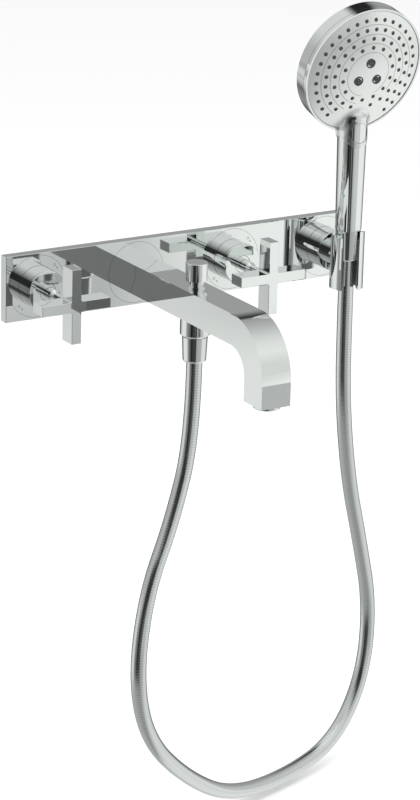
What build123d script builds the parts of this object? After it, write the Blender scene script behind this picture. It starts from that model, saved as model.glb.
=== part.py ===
from build123d import *
import math
import os

# Wall mounted bath mixer on a long front plate: two cross handles, a spout with a
# diverter and a hose outlet, a holder, a hose and a hand shower with a select button.
# Millimetres. X runs right along the wall, +Y into the wall, +Z up.
# The origin is the centre of the front plate's back face, on the wall.

# ---- fits ----
running_clearance = 0.05    # radial, shaft turning or sliding in its bore
seat_clearance = 0.1        # radial, fixed piece pushed into its seat
body_gap = 0.3              # between pieces that move apart
seam_gap = 0.25             # visible seam round the flush discs

# ---- front plate ----
axis_pitch = 105.0          # between neighbouring holes
plate_length = 380.0
plate_height = 63.0
plate_thickness = 10.0
plate_skin = 3.0
plate_rim = 3.0
plate_edge = 0.3
rosette_radius = 29.5
rosette_skirt = 2.0
rail_thickness = 2.0
rail_setback = 0.5          # the rail stands clear of the wall, on its bolts
gasket_width = 2.5
gasket_thickness = 2.0
wall_bolt_spacing_z = 24.0
wall_bolt_radius = 2.75
grub_screw_radius = 2.0
grub_socket_radius = 1.1
rail_tab_width = 16.0
rail_tab_height = 8.0

hot_x = -1.5 * axis_pitch
spout_x = -0.5 * axis_pitch
cold_x = 0.5 * axis_pitch
holder_x = 1.5 * axis_pitch
plate_front = -plate_thickness
skin_back = plate_front + plate_skin
rail_back = -rail_setback
rail_front = rail_back - rail_thickness

# ---- sleeves and trim rings ----
sleeve_radius = 19.5
sleeve_wall = 2.5
sleeve_length = 20.5
sleeve_spigot_radius = 17.0
sleeve_spigot_length = 4.0
sleeve_mouth_radius = 8.3
trim_ring_radius = 7.9
sleeve_front = plate_front - sleeve_length

# ---- valves behind the plate ----
manifold_depth = 26.0
manifold_half_height = 11.0
boss_radius = 14.5
boss_front = -5.0
cartridge_radius = 10.0
cartridge_bore_depth = 20.0
cartridge_flange_radius = 13.0
cartridge_flange_thickness = 4.0
cartridge_neck_radius = 8.0
chamber_radius = 8.8
chamber_start = 4.0
disc_radius = 8.4
disc_thickness = 3.0
inlet_spacing = 150.0
inlet_offset = 34.0
inlet_radius = 9.316        # tapping bore of a G1/2 thread
inlet_depth = 15.0
inlet_boss_radius = 11.9
inlet_reach = 28.0
inlet_y = 14.0
passage_radius = 4.0
mixed_passage_y = 8.0
supply_passage_y = 21.0
seal_depth = 1.1
seal_width = 2.0
cartridge_seal_y = -2.0

# ---- handles ----
spindle_radius = 3.95
spindle_nose_radius = 2.5
driver_radius = 6.0
driver_back = 13.0
driver_front = 8.0
stem_radius = 5.5
stem_length = 16.0
stem_neck_radius = 3.4
stem_cone_length = 3.0
cross_span = 70.0
cross_bar = 9.5
cross_depth = 18.0
cross_back = -67.5
cross_fillet = 1.6
cross_edge = 0.25
stem_grip = 8.0
grub_radius = 1.5

# ---- spout ----
spout_reach = 259.0
spout_width = 30.0
spout_height = 28.8
spout_leg = 30.0
spout_drop = 60.0
spout_outer_bend = 52.5
spout_inner_bend = 24.5
spout_wall = 3.0
spout_base_depth = 20.0
spout_leg_floor = 8.0
nipple_bore = 6.5
nipple_front = -27.0
nipple_back = 2.0
spout_screw_y = -17.0
aerator_radius = 12.0
aerator_thread_radius = 11.0
aerator_proud = 3.8
aerator_wall = 1.4

# ---- diverter ----
diverter_y = -119.0
knob_radius = 10.25
knob_height = 16.7
knob_bottom = 21.3
knob_edge = 0.8
diverter_stem_radius = 7.3
gland_flange_radius = 9.0
gland_flange_height = 1.5
gland_radius = 8.5
gland_depth = 6.0
rod_radius = 2.5
piston_radius = 8.0
piston_thickness = 2.5
piston_seal_radius = 7.0
piston_seal_thickness = 3.1
outlet_bore = 5.5

# ---- hose outlet and hose ends ----
collar_radius = 14.0
collar_height = 17.5
collar_chamfer = 2.2
collar_spigot_radius = 8.0
thread_radius = 10.4        # G1/2 outside thread, plain
thread_length = 10.0
check_valve_radius = 6.5
check_valve_length = 16.0
outlet_nut_length = 23.8
outlet_nut_top_radius = 11.9
nut_bottom_radius = 10.8
nut_rounding = 2.0
nut_shoulder = 12.0         # solid end below the washer
washer_thickness = 2.0
hose_bore = 4.5
hose_radius = 7.55
outlet_seam = 0.3

# ---- holder ----
handset_y = -51.5
clip_radius = 16.2
clip_wall = 3.0
clip_top = 23.0             # on the clip's axis
clip_top_slope = 16.0       # degrees, rising away from the wall
clip_bottom = -30.3
clip_slot = 15.9
clip_slot_turn = 17.5       # degrees from straight ahead, towards the spout
post_radius = 13.0
post_tail_radius = 8.2
holder_screw_radius = 3.0
holder_screw_head = 4.0
clip_screw_radius = 2.0
clip_screw_head = 3.5

# ---- hand shower ----
handset_nut_bottom = -3.0
handset_nut_length = 30.0
handset_nut_top_radius = 12.2
handset_gap = 0.5
handle_bottom_radius = 12.65
handle_top_radius = 14.3
handle_wall = 2.2
handle_straight_top = 136.0
waterway_radius = 7.0
waterway_bore = 5.0
connector_length = 12.0
head_y = -66.5
head_z = 185.0
head_tilt = 14.9            # degrees the spray face looks down
head_radius = 63.5
head_side = 17.0
head_back_depth = 24.0
head_back_flat = 40.0
head_wall = 2.5
bezel_width = 2.0
bezel_depth = 4.0
face_radius = 61.4
face_crown = 9.6
face_thickness = 2.5
mat_thickness = 1.5
nozzle_radius = 1.7
nozzle_proud = 1.1
nozzle_clearance = 0.05
nozzle_rings = [             # ring radius, pitch in degrees, first and last angle
    (27.2, 25.7, -91.0, 243.3),
    (35.9, 18.0, -72.0, 252.0),
    (44.5, 13.3, -45.7, 233.6),
    (53.5, 11.0, -54.0, 232.0),
]
jet_circle = 11.6
jet_radius = 4.7
chamber_plate_radius = 55.0
chamber_plate_thickness = 4.0
button_z = 124.1
button_radius = 9.4
button_gap = 0.25
button_thickness = 3.0
selector_radius = 8.5
selector_bottom = 110.0
selector_top = 134.0
spring_radius = 3.0
spring_wire = 0.5

# ---- hose route, between the two nuts ----
outlet_lead = 75.0          # straight out of the outlet nut
handset_lead = 73.0         # straight into the hand shower's nut
hose_bends = [
    (-77.0, -127.0, -206.0),
    (-108.0, -136.0, -268.0),
    (-121.0, -141.0, -350.0),
    (-103.0, -135.0, -420.0),
    (-48.0, -117.0, -478.0),
    (13.0, -98.0, -518.0),
    (92.0, -73.0, -527.0),
    (168.0, -48.0, -514.0),
    (209.0, -35.0, -456.0),
    (215.0, -33.0, -378.0),
    (194.0, -40.0, -301.0),
    (174.0, -46.0, -234.0),
    (160.0, -51.0, -152.0),
]

# ---- worked out ----
spout_top = spout_height / 2
spout_under = -spout_height / 2
collar_bottom = spout_under - collar_height
outlet_nut_top = collar_bottom - outlet_seam
outlet_nut_bottom = outlet_nut_top - outlet_nut_length
handset_nut_top = handset_nut_bottom + handset_nut_length
handle_bottom = handset_nut_top + handset_gap
rail_half_length = plate_length / 2 - plate_rim - gasket_width - 0.5
rail_half_height = plate_height / 2 - plate_rim - gasket_width - 0.5
cross_front = cross_back - cross_depth
hose_route = [
    (spout_x, diverter_y, outlet_nut_bottom),
    (spout_x, diverter_y, outlet_nut_bottom - outlet_lead),
    *hose_bends,
    (holder_x, handset_y, handset_nut_bottom - handset_lead),
    (holder_x, handset_y, handset_nut_bottom),
]


# ---- shape helpers ----
def block(x0, x1, y0, y1, z0, z1):
    size = Box(x1 - x0, y1 - y0, z1 - z0)
    return Pos((x0 + x1) / 2, (y0 + y1) / 2, (z0 + z1) / 2) * size


def rod_x(y, z, radius, x0, x1):
    return Pos((x0 + x1) / 2, y, z) * Rot(0, 90, 0) * Cylinder(radius, x1 - x0)


def rod_y(x, z, radius, y0, y1):
    return Pos(x, (y0 + y1) / 2, z) * Rot(90, 0, 0) * Cylinder(radius, y1 - y0)


def rod_z(x, y, radius, z0, z1):
    return Pos(x, y, (z0 + z1) / 2) * Cylinder(radius, z1 - z0)


def cone_z(x, y, low_radius, high_radius, z0, z1):
    return Pos(x, y, (z0 + z1) / 2) * Cone(low_radius, high_radius, z1 - z0)


def ring_y(x, z, outer, inner, y0, y1):
    return rod_y(x, z, outer, y0, y1) - rod_y(x, z, inner, y0 - 1, y1 + 1)


def ring_z(x, y, outer, inner, z0, z1):
    return rod_z(x, y, outer, z0, z1) - rod_z(x, y, inner, z0 - 1, z1 + 1)


# ---- front plate and what is behind it ----
def front_plate():
    half_length = plate_length / 2
    half_height = plate_height / 2
    plate = block(-half_length, half_length, plate_front, 0, -half_height, half_height)
    plate = chamfer(plate.edges().group_by(Axis.Y)[0], plate_edge)
    inner_length = half_length - plate_rim
    inner_height = half_height - plate_rim
    plate -= block(-inner_length, inner_length, skin_back, 1, -inner_height, inner_height)
    for x in (hot_x, spout_x, cold_x, holder_x):
        plate -= rod_y(x, 0, rosette_radius + seam_gap, plate_front - 1, rail_front)
    for x in (-axis_pitch, axis_pitch):
        plate -= rod_z(x, plate_screw_y(), grub_screw_radius + seat_clearance,
                       -half_height - 1, -inner_height + 1)
    return plate


def plate_screw_y():
    return (skin_back + rail_front) / 2


def plate_gasket():
    outer_length = plate_length / 2 - plate_rim
    outer_height = plate_height / 2 - plate_rim
    gasket = block(-outer_length, outer_length, -gasket_thickness, 0, -outer_height, outer_height)
    inner_length = outer_length - gasket_width
    inner_height = outer_height - gasket_width
    return gasket - block(-inner_length, inner_length, -gasket_thickness - 1, 1,
                          -inner_height, inner_height)


def mounting_rail():
    rail = block(-rail_half_length, rail_half_length, rail_front, rail_back,
                 -rail_half_height, rail_half_height)
    tab_bottom = -(plate_height / 2 - plate_rim)
    for x in (-axis_pitch, axis_pitch):
        rail += block(x - rail_tab_width / 2, x + rail_tab_width / 2, skin_back, rail_front,
                      tab_bottom, tab_bottom + rail_tab_height)
        rail -= rod_z(x, plate_screw_y(), grub_screw_radius, tab_bottom - 1,
                      tab_bottom + rail_tab_height + 1)
        for z in (-wall_bolt_spacing_z / 2, wall_bolt_spacing_z / 2):
            rail -= rod_y(x, z, wall_bolt_radius, rail_front - 1, 1)
    for x in (hot_x, spout_x, cold_x):
        rail -= rod_y(x, 0, boss_radius + 0.5, rail_front - 1, 1)
    rail -= rod_y(holder_x, 0, holder_screw_radius + seat_clearance, rail_front - 1, 1)
    return rail


def grub_screw(x, y, bottom, top):
    screw = rod_z(x, y, grub_screw_radius, bottom, top)
    return screw - Pos(x, y, bottom) * extrude(RegularPolygon(grub_socket_radius, 6), 2)


def grub_screws():
    bottom = -plate_height / 2 + 0.5
    top = -plate_height / 2 + plate_rim + rail_tab_height - 1
    screws = [grub_screw(x, plate_screw_y(), bottom, top) for x in (-axis_pitch, axis_pitch)]
    screws.append(grub_screw(spout_x, spout_screw_y, spout_under + 0.6, -nipple_radius()))
    return screws


def rosette(x, hole_radius):
    disc = rod_y(x, 0, rosette_radius, plate_front, skin_back)
    skirt = ring_y(x, 0, rosette_radius, rosette_radius - rosette_skirt, skin_back, rail_front)
    return disc + skirt - rod_y(x, 0, hole_radius, plate_front - 1, rail_front + 1)


def sleeve(x):
    tube = rod_y(x, 0, sleeve_radius, sleeve_front, plate_front)
    tube = chamfer(tube.edges().sort_by(Axis.Y)[0], plate_edge)
    spigot_end = plate_front + sleeve_spigot_length
    tube += rod_y(x, 0, sleeve_spigot_radius - seat_clearance, plate_front, spigot_end)
    tube -= rod_y(x, 0, sleeve_spigot_radius - sleeve_wall, sleeve_front + sleeve_wall,
                  spigot_end + 1)
    return tube - rod_y(x, 0, sleeve_mouth_radius, sleeve_front - 1, spigot_end)


def trim_rings():
    inner = stem_radius + running_clearance
    return [ring_y(x, 0, trim_ring_radius, inner, sleeve_front + 0.3, cartridge_front())
            for x in (hot_x, cold_x)]


def cartridge_front():
    return sleeve_front + sleeve_wall


# ---- valve body ----
def valve_manifold():
    body = block(hot_x - boss_radius, cold_x + boss_radius, 0, manifold_depth,
                 -manifold_half_height, manifold_half_height)
    for x in (hot_x, cold_x):
        body += rod_y(x, 0, boss_radius, boss_front, manifold_depth + 2)
    body += rod_y(spout_x, 0, boss_radius, boss_front, manifold_depth)
    for x in inlet_positions():
        body += rod_z(x, inlet_y, inlet_boss_radius, -inlet_reach, 0)
    for x in (hot_x, spout_x, cold_x):
        body -= rod_y(x, 0, cartridge_radius, boss_front - 1, cartridge_bore_depth)
    body -= rod_x(mixed_passage_y, 0, passage_radius, hot_x, cold_x)
    for x, valve_x in zip(inlet_positions(), (hot_x, cold_x)):
        body -= rod_z(x, inlet_y, inlet_radius, -inlet_reach - 1, -inlet_reach + inlet_depth)
        body -= rod_z(x, supply_passage_y, passage_radius, -inlet_reach + inlet_depth - 1, 0)
        body -= rod_x(supply_passage_y, 0, passage_radius, min(x, valve_x), max(x, valve_x))
    return body


def inlet_positions():
    hot_inlet = hot_x + inlet_offset
    return (hot_inlet, hot_inlet + inlet_spacing)


def cartridge(x):
    flange_front = boss_front - cartridge_flange_thickness
    outer = cartridge_radius - seat_clearance
    end = cartridge_bore_depth - 0.5
    body = rod_y(x, 0, outer, boss_front, end)
    body += rod_y(x, 0, cartridge_flange_radius, flange_front, boss_front)
    body += rod_y(x, 0, cartridge_neck_radius, cartridge_front(), flange_front)
    body -= rod_y(x, 0, spindle_radius + running_clearance, cartridge_front() - 1, chamber_start)
    body -= rod_y(x, 0, chamber_radius, chamber_start, end + 1)
    body -= rod_x(mixed_passage_y, 0, passage_radius - 0.5, x, x + cartridge_radius + 1)
    body -= rod_x(mixed_passage_y, 0, passage_radius - 0.5, x - cartridge_radius - 1, x)
    return body - seal_groove(x, cartridge_seal_y)


def seal_groove(x, y):
    inner = cartridge_radius - seal_depth
    return ring_y(x, 0, cartridge_radius + 1, inner, y, y + seal_width)


def o_rings():
    inner = cartridge_radius - seal_depth
    places = [(hot_x, cartridge_seal_y), (cold_x, cartridge_seal_y)]
    places += [(spout_x, y) for y in nipple_seal_positions()]
    return [ring_y(x, 0, cartridge_radius, inner, y, y + seal_width) for x, y in places]


def ported_disc(x, y0, radius):
    disc = rod_y(x, 0, radius, y0, y0 + disc_thickness)
    port = rod_y(x, radius / 2, radius / 3.2, y0 - 1, y0 + disc_thickness + 1)
    return disc - port


def fixed_discs():
    start = driver_back + disc_thickness + body_gap
    return [ported_disc(x, start, chamber_radius) for x in (hot_x, cold_x)]


# ---- cross handle and the pieces that turn with it ----
def cross_handle(x):
    half = cross_span / 2
    bar = cross_bar / 2
    outline = Rectangle(cross_span, cross_bar) + Rectangle(cross_bar, cross_span)
    inner_corners = [v for v in outline.vertices() if abs(v.X) < half - 1 and abs(v.Y) < half - 1]
    outline = fillet(inner_corners, cross_fillet)
    cross = Plane(origin=(x, cross_back, 0), x_dir=(1, 0, 0), z_dir=(0, -1, 0)) * extrude(
        outline, cross_depth)
    cross = chamfer(cross.edges().group_by(Axis.Y)[0], cross_edge)
    return cross - rod_y(x, 0, stem_neck_radius, cross_back - stem_grip, cross_back + 1)


def handle_stem(x):
    back = cartridge_front() - body_gap
    shoulder = back - stem_length
    stem = rod_y(x, 0, stem_radius, shoulder, back)
    cone = Cone(stem_radius, stem_neck_radius, stem_cone_length)
    stem += Pos(x, shoulder - stem_cone_length / 2, 0) * Rot(90, 0, 0) * cone
    stem += rod_y(x, 0, stem_neck_radius, cross_back - stem_grip, shoulder)
    stem -= rod_y(x, 0, spindle_nose_radius, stem_socket_end(), back + 1)
    return stem - rod_z(x, grub_y(), grub_radius, -stem_radius - 1, 0)


def stem_socket_end():
    return cartridge_front() - body_gap - stem_length + 4


def grub_y():
    return (stem_socket_end() + sleeve_front) / 2 - 1


def stem_grub_screw(x):
    return rod_z(x, grub_y(), grub_radius, -stem_radius + 0.3, -spindle_nose_radius)


def valve_spindle(x):
    spindle = rod_y(x, 0, spindle_radius, cartridge_front() - body_gap, driver_front)
    spindle += rod_y(x, 0, driver_radius, driver_front, driver_back)
    return spindle + rod_y(x, 0, spindle_nose_radius, stem_socket_end(),
                           cartridge_front() - body_gap)


def turning_disc(x):
    return ported_disc(x, driver_back, disc_radius)


# ---- spout ----
def spout_outline(inset, back, leg_end):
    top = spout_top - inset
    under = spout_under + inset
    front = -spout_reach + inset
    leg_back = -spout_reach + spout_leg - inset
    points = [(back, top), (front, top), (front, leg_end), (leg_back, leg_end),
              (leg_back, under), (back, under)]
    face = make_face(Polyline(*points, close=True))
    outer = face.vertices().sort_by_distance((front, top, 0))[0]
    face = fillet(outer, spout_outer_bend - inset)
    inner = face.vertices().sort_by_distance((leg_back, under, 0))[0]
    return fillet(inner, spout_inner_bend + inset)


def spout_solid(outline, width):
    section = Plane(origin=(spout_x, 0, 0), x_dir=(0, 1, 0), z_dir=(1, 0, 0)) * outline
    return extrude(section, width / 2, both=True)


def spout_body():
    body = spout_solid(spout_outline(0, plate_front, -spout_drop), spout_width)
    cavity_back = plate_front - spout_base_depth
    cavity = spout_outline(spout_wall, cavity_back, -spout_drop + spout_leg_floor)
    body -= spout_solid(cavity, spout_width - 2 * spout_wall)
    body -= rod_y(spout_x, 0, nipple_radius() + seat_clearance, cavity_back - 1, plate_front + 1)
    body -= rod_z(spout_x, leg_y(), aerator_thread_radius + seat_clearance,
                  -spout_drop - 1, -spout_drop + spout_leg_floor + 1)
    body -= rod_z(spout_x, diverter_y, gland_radius + seat_clearance, 0, spout_top + 1)
    body -= rod_z(spout_x, diverter_y, collar_spigot_radius + seat_clearance, spout_under - 1, 0)
    return body - rod_z(spout_x, spout_screw_y, grub_screw_radius, spout_under - 1, -nipple_radius())


def leg_y():
    return -spout_reach + spout_leg / 2


def spout_nipple():
    nipple = ring_y(spout_x, 0, nipple_radius(), nipple_bore, nipple_front, nipple_back)
    for y in nipple_seal_positions():
        nipple -= seal_groove(spout_x, y)
    return nipple


def nipple_radius():
    return cartridge_radius - seat_clearance


def nipple_seal_positions():
    return (nipple_front + 4, boss_front + 2)


def aerator_housing():
    bottom = -spout_drop - aerator_proud
    housing = rod_z(spout_x, leg_y(), aerator_radius, bottom, -spout_drop)
    housing = fillet(housing.edges().sort_by(Axis.Z)[0], 0.8)
    housing += rod_z(spout_x, leg_y(), aerator_thread_radius, -spout_drop,
                     -spout_drop + spout_leg_floor - washer_thickness)
    bore = aerator_thread_radius - aerator_wall
    return housing - rod_z(spout_x, leg_y(), bore, bottom - 1, 0)


def aerator_insert():
    bottom = -spout_drop - aerator_proud + 0.8
    top = -spout_drop + spout_leg_floor - washer_thickness
    radius = aerator_thread_radius - aerator_wall
    insert = rod_z(spout_x, leg_y(), radius, bottom, top)
    hole_pitch = 3.6
    holes = []
    for row in range(-2, 3):
        for column in range(-2, 3):
            x = (column + row / 2) * hole_pitch
            y = row * hole_pitch * math.sqrt(3) / 2
            if math.hypot(x, y) < radius - 1.8:
                holes.append(rod_z(spout_x + x, leg_y() + y, 1.3, bottom - 1, top + 1))
    return insert - holes


def aerator_washer():
    top = -spout_drop + spout_leg_floor
    inner = aerator_thread_radius - aerator_wall - 1
    return ring_z(spout_x, leg_y(), aerator_thread_radius, inner, top - washer_thickness, top)


# ---- diverter, moving up and down through the spout ----
def diverter_gland():
    flange = rod_z(spout_x, diverter_y, gland_flange_radius, spout_top,
                   spout_top + gland_flange_height)
    body = rod_z(spout_x, diverter_y, gland_radius, spout_top - gland_depth, spout_top)
    bore = rod_z(spout_x, diverter_y, diverter_stem_radius + running_clearance, 0,
                 spout_top + 10)
    return flange + body - bore


def diverter_knob():
    knob = rod_z(spout_x, diverter_y, knob_radius, knob_bottom, knob_bottom + knob_height)
    knob = fillet(knob.edges().sort_by(Axis.Z)[-1], knob_edge)
    stem_bottom = spout_top - gland_depth + 0.5
    knob += rod_z(spout_x, diverter_y, diverter_stem_radius, stem_bottom, knob_bottom)
    return knob - rod_z(spout_x, diverter_y, rod_radius, stem_bottom - 1, rod_top())


def rod_top():
    return spout_top


def piston_bottom():
    return spout_under + spout_wall + body_gap + piston_seal_thickness


def diverter_rod():
    rod = rod_z(spout_x, diverter_y, rod_radius, piston_bottom(), rod_top())
    return rod + rod_z(spout_x, diverter_y, piston_radius, piston_bottom(),
                       piston_bottom() + piston_thickness)


def diverter_seal():
    return rod_z(spout_x, diverter_y, piston_seal_radius, piston_bottom() - piston_seal_thickness,
                 piston_bottom())


# ---- hose outlet under the spout ----
def outlet_collar():
    collar = rod_z(spout_x, diverter_y, collar_radius, collar_bottom, spout_under)
    collar = chamfer(collar.edges().sort_by(Axis.Z)[0], collar_chamfer)
    collar += rod_z(spout_x, diverter_y, collar_spigot_radius, spout_under,
                    spout_under + spout_wall - 0.2)
    collar += rod_z(spout_x, diverter_y, thread_radius, collar_bottom - thread_length,
                    collar_bottom)
    collar -= rod_z(spout_x, diverter_y, outlet_bore, collar_bottom - thread_length - 1, 0)
    return collar - rod_z(spout_x, diverter_y, check_valve_radius,
                          collar_bottom - thread_length - 1, check_valve_top())


def check_valve_top():
    return collar_bottom - thread_length + check_valve_length


def check_valve():
    bottom = collar_bottom - thread_length + 0.5
    return ring_z(spout_x, diverter_y, check_valve_radius - seat_clearance, 3.0, bottom,
                  check_valve_top())


def hose_nut(x, y, bottom, length, top_radius, bore_radius):
    top = bottom + length
    nut = cone_z(x, y, nut_bottom_radius, top_radius, bottom, top)
    nut = fillet(nut.edges().sort_by(Axis.Z)[0], nut_rounding)
    nut -= rod_z(x, y, bore_radius, bottom + nut_shoulder, top + 1)
    return nut - rod_z(x, y, hose_bore, bottom - 1, top)


def hose_washer(x, y, bottom, bore_radius):
    base = bottom + nut_shoulder
    return ring_z(x, y, bore_radius - seat_clearance, hose_bore, base, base + washer_thickness)


def outlet_hose_nut():
    return hose_nut(spout_x, diverter_y, outlet_nut_bottom, outlet_nut_length,
                    outlet_nut_top_radius, thread_radius + seat_clearance)


def outlet_hose_washer():
    return hose_washer(spout_x, diverter_y, outlet_nut_bottom, thread_radius + seat_clearance)


# ---- hose ----
def turn_radius(before, corner, after):
    run_in = Vector(*corner) - Vector(*before)
    run_out = Vector(*after) - Vector(*corner)
    half_turn = math.radians(run_in.get_angle(run_out)) / 2
    return 0.45 * min(run_in.length, run_out.length) / math.tan(half_turn)


def shower_hose():
    corners = zip(hose_route, hose_route[1:], hose_route[2:])
    radii = [turn_radius(*three) for three in corners]
    path = FilletPolyline(*hose_route, radius=radii)
    section = Plane(origin=hose_route[0], z_dir=path % 0) * Circle(hose_radius)
    hose = sweep(section, path=path)
    print("hose radii", [round(radius) for radius in radii])
    print("hose length", round(path.length, 1), "volume ratio",
          round(hose.volume / (math.pi * hose_radius ** 2 * path.length), 4))
    return hose


# ---- holder ----
def holder_post():
    post = rod_y(holder_x, 0, post_radius, handset_y, sleeve_front)
    post += rod_y(holder_x, 0, post_tail_radius, sleeve_front, rail_front)
    post -= rod_z(holder_x, handset_y, clip_radius, clip_bottom - 20, clip_top + 20)
    post -= rod_y(holder_x, 0, holder_screw_radius, rail_front - 18, rail_front + 1)
    return post - rod_y(holder_x, 0, clip_screw_radius, handset_y, clip_screw_end() + 0.5)


def clip_screw_end():
    return handset_y + clip_radius + 8


def holder_screw():
    head_back = rail_back + holder_screw_head
    shank = rod_y(holder_x, 0, holder_screw_radius, rail_front - 17, rail_back)
    head = rod_y(holder_x, 0, holder_screw_radius * 1.8, rail_back, head_back)
    socket = Plane(origin=(holder_x, head_back, 0), z_dir=(0, -1, 0))
    socket *= extrude(RegularPolygon(2.5, 6), 2)
    return shank + head - socket


def clip_slot_cut(width):
    reach = clip_radius + 5
    cut = block(-width / 2, width / 2, -reach, 0, clip_bottom - 1, clip_top + 20)
    return Pos(holder_x, handset_y, 0) * Rot(0, 0, -clip_slot_turn) * cut


def above_clip_top():
    half = 4 * clip_radius
    cut = block(-half, half, -half, half, 0, half)
    return Pos(holder_x, handset_y, clip_top) * Rot(-clip_top_slope, 0, 0) * cut


def holder_clip():
    clip = rod_z(holder_x, handset_y, clip_radius, clip_bottom, clip_top + 10)
    clip -= rod_z(holder_x, handset_y, clip_radius - clip_wall, clip_bottom - 1, clip_top + 20)
    clip -= above_clip_top()
    clip -= clip_slot_cut(clip_slot)
    clip -= rod_y(holder_x, 0, clip_screw_radius, handset_y, clip_screw_end())
    seat = handset_y + clip_radius - clip_wall
    return clip - rod_y(holder_x, 0, clip_screw_head, handset_y, seat + 1.5)


def clip_screw():
    seat = handset_y + clip_radius - clip_wall + 0.3
    head = rod_y(holder_x, 0, clip_screw_head, seat, seat + 1.2)
    return head + rod_y(holder_x, 0, clip_screw_radius, seat, clip_screw_end())


def holder_liner():
    outer = clip_radius - clip_wall - seat_clearance
    top = min(handset_nut_top - 6.0, clip_top - clip_radius * math.tan(math.radians(clip_top_slope)))
    liner = rod_z(holder_x, handset_y, outer, clip_bottom, top)
    slope = (handset_nut_top_radius - nut_bottom_radius) / handset_nut_length
    low = nut_bottom_radius + body_gap + slope * (clip_bottom - 1 - handset_nut_bottom)
    high = nut_bottom_radius + body_gap + slope * (top + 1 - handset_nut_bottom)
    liner -= cone_z(holder_x, handset_y, low, high, clip_bottom - 1, top + 1)
    return liner - clip_slot_cut(clip_slot)


# ---- hand shower: nut and washer on the hose end ----
def handset_hose_nut():
    return hose_nut(holder_x, handset_y, handset_nut_bottom, handset_nut_length,
                    handset_nut_top_radius, thread_radius + running_clearance)


def handset_hose_washer():
    return hose_washer(holder_x, handset_y, handset_nut_bottom,
                       thread_radius + running_clearance)


# ---- hand shower: handle ----
def handle_form(inset):
    top_radius = handle_top_radius - inset
    form = cone_z(holder_x, handset_y, handle_bottom_radius - inset, top_radius,
                  handle_bottom, handle_straight_top)
    dome = Pos(holder_x, handset_y, handle_straight_top) * Sphere(top_radius)
    return form + dome


def button_pocket(radius):
    front = handset_y - handle_top_radius - 5
    return rod_y(holder_x, button_z, radius, front, handset_y)


def handset_handle():
    shell = handle_form(0) - handle_form(handle_wall)
    shell -= rod_z(holder_x, handset_y, handle_bottom_radius - handle_wall,
                   handle_bottom - 1, handle_bottom + 1)
    shell -= button_pocket(button_radius + button_gap)
    window = head_disc(face_radius - 30, -head_side, 20)
    return shell - window


def handset_connector():
    bottom = handset_nut_bottom + nut_shoulder + washer_thickness + body_gap
    top = handle_bottom + connector_length
    body = rod_z(holder_x, handset_y, thread_radius, bottom, handle_bottom)
    body += rod_z(holder_x, handset_y, handle_bottom_radius - handle_wall - seat_clearance,
                  handle_bottom, top)
    body -= rod_z(holder_x, handset_y, hose_bore, bottom - 1, top + 1)
    return body - rod_z(holder_x, handset_y, waterway_radius, top - 6, top + 1)


def handset_waterway():
    return ring_z(holder_x, handset_y, waterway_radius, waterway_bore,
                  handle_bottom + connector_length - 6, selector_bottom)


def spray_selector():
    body = rod_z(holder_x, handset_y, selector_radius, selector_bottom, selector_top)
    body -= rod_z(holder_x, handset_y, waterway_bore, selector_bottom - 1, selector_bottom + 6)
    return body - rod_y(holder_x, button_z, spring_radius + 0.5, handset_y - selector_radius - 1,
                        spring_seat())


def spring_seat():
    return handset_y - selector_radius + 4


def select_button():
    inner = handle_top_radius - button_thickness
    shell = handle_form(0) & button_pocket(button_radius)
    return shell - rod_y(holder_x, button_z, button_radius + 1, handset_y - inner, handset_y + 1)


def button_spring():
    front = handset_y - handle_top_radius + button_thickness
    return ring_y(holder_x, button_z, spring_radius, spring_radius - spring_wire,
                  front, spring_seat())


# ---- hand shower: head ----
def head_plane():
    tilt = math.radians(head_tilt)
    return Plane(origin=(holder_x, head_y, head_z), x_dir=(1, 0, 0),
                 z_dir=(0, -math.cos(tilt), -math.sin(tilt)))


def head_disc(radius, low, high):
    disc = Pos(0, 0, (low + high) / 2) * Cylinder(radius, high - low)
    return head_plane() * disc


def head_revolve(points):
    face = make_face(Plane.XZ * Polyline(*points, close=True))
    return head_plane() * revolve(face, Axis.Z)


def head_shell():
    back = head_back_depth
    outer = [(0, 0), (head_radius, 0), (head_radius - 0.5, -head_side),
             (head_back_flat, -back), (0, -back)]
    w = head_wall
    inner = [(0, 1), (head_radius - w, 1), (head_radius - w - 0.5, -head_side + w / 2),
             (head_back_flat - 1, -back + w), (0, -back + w)]
    shell = head_revolve(outer) - head_revolve(inner)
    shell -= head_disc(head_radius + 1, -bezel_depth, 2)
    return shell - handle_form(-seat_clearance)


def head_bezel():
    ring = head_disc(head_radius, -bezel_depth, 0.4) - head_disc(head_radius - bezel_width,
                                                               -bezel_depth - 1, 2)
    return ring - handle_form(-seat_clearance)


def crown_sphere(offset):
    radius = (face_radius ** 2 + face_crown ** 2) / (2 * face_crown)
    return head_plane() * Pos(0, 0, face_crown - radius) * Sphere(radius + offset)


def dome_layer(radius, outside, inside):
    column = head_disc(radius, -bezel_depth - 5, face_crown + 5)
    return (column & crown_sphere(outside)) - crown_sphere(inside)


def nozzle_places():
    places = []
    for radius, pitch, first, last in nozzle_rings:
        count = round((last - first) / pitch) + 1
        for index in range(count):
            angle = math.radians(first + index * (last - first) / (count - 1))
            places.append((radius * math.cos(angle), radius * math.sin(angle)))
    return places


def jet_places():
    return [(jet_circle * math.cos(math.radians(a)), jet_circle * math.sin(math.radians(a)))
            for a in (90, 210, 330)]


def crown_height(x, y):
    sphere = (face_radius ** 2 + face_crown ** 2) / (2 * face_crown)
    return face_crown - sphere + math.sqrt(sphere ** 2 - x * x - y * y)


def local_rod(x, y, radius, low, high):
    return head_plane() * Pos(x, y, (low + high) / 2) * Cylinder(radius, high - low)


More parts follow.
